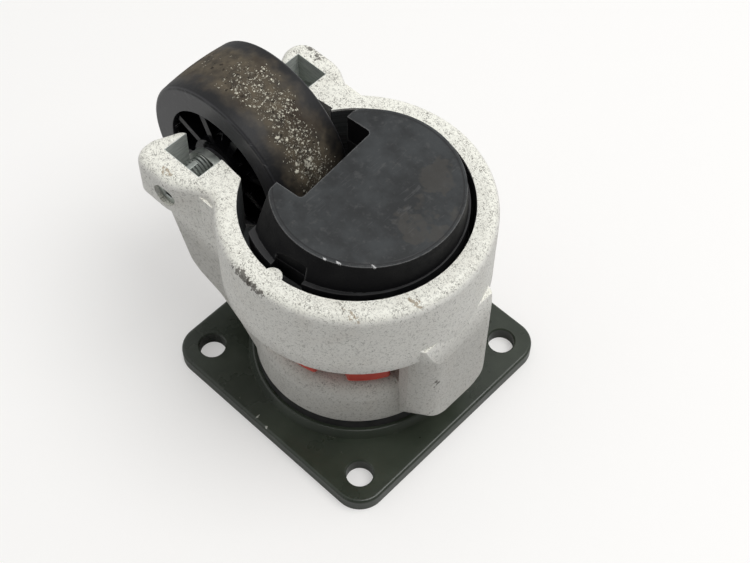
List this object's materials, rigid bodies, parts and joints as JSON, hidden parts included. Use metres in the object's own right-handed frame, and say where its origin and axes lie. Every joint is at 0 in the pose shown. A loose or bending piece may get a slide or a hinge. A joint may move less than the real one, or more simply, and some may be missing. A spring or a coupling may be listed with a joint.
{
  "type": "levelling castor",
  "caption": "Swivel castor with a nylon wheel, a cast ring housing and a rubber levelling foot raised and lowered by a thumbwheel.",
  "frame": {"origin": "centre of the four bolt holes, on the plate's mounting face, on the swivel axis; the castor stands upside down on that face", "axes": "+Z from the mounting face towards the foot and wheel (downwards in use); X and Y along the plate's sides, the wheel on the -X side at rest"},
  "size_m": [0.1239, 0.09, 0.1019],
  "materials": {
    "plate_paint": "semi-gloss dark olive-black coat on pressed steel",
    "powder_coat": "off-white powder coat with dark speckle on cast aluminium",
    "zinc_steel": "zinc-plated steel, dull grey",
    "race_steel": "hardened steel",
    "wheel_nylon": "black nylon, tread dusty and pitted with grit",
    "foot_rubber": "black rubber, faintly mottled, lip worn grey",
    "holder_plastic": "black glass-filled nylon",
    "adjuster_plastic": "red nylon",
    "seal_rubber": "black rubber",
    "bush_plastic": "natural acetal"
  },
  "bodies": {
    "mount": {"mounting_plate": "plate_paint", "kingpin": "zinc_steel", "plate_race": "race_steel", "race_balls": "race_steel", "dust_seal": "seal_rubber", "inner_balls": "race_steel", "cone_washer": "race_steel", "kingpin_nut": "zinc_steel"},
    "housing": {"housing": "powder_coat", "housing_race": "race_steel", "inner_race": "race_steel", "thrust_washer": "zinc_steel", "axle": "zinc_steel", "lock_screw": "zinc_steel", "spacer_washers": "zinc_steel", "guide_bush": "bush_plastic"},
    "wheel": {"wheel": "wheel_nylon", "wheel_bush": "zinc_steel"},
    "adjuster": {"adjuster": "adjuster_plastic", "adjuster_nut": "zinc_steel"},
    "foot": {"foot_stem": "zinc_steel", "foot_holder": "holder_plastic", "foot_screw": "zinc_steel", "foot_pad": "foot_rubber"}
  },
  "joints": [
    {"name": "swivel", "type": "hinge", "parent": "mount", "child": "housing", "pos_m": [0, 0, 0], "axis": [0, 0, 1], "continuous": true},
    {"name": "wheel_spin", "type": "hinge", "parent": "housing", "child": "wheel", "pos_m": [-0.0478, 0.0011, 0.0708], "axis": [0, 1, 0], "continuous": true},
    {"name": "adjuster_turn", "type": "hinge", "parent": "housing", "child": "adjuster", "pos_m": [0, 0, 0], "axis": [0, 0, 1], "range_deg": [0, 2340.2]},
    {"name": "foot_lift", "type": "slide", "parent": "housing", "child": "foot", "axis": [0, 0, 1], "range_m": [0, 0.013]}
  ],
  "couplings": [
    {"joint": "adjuster_turn", "follows": "foot_lift", "rad_per_m": 3141.6}
  ]
}
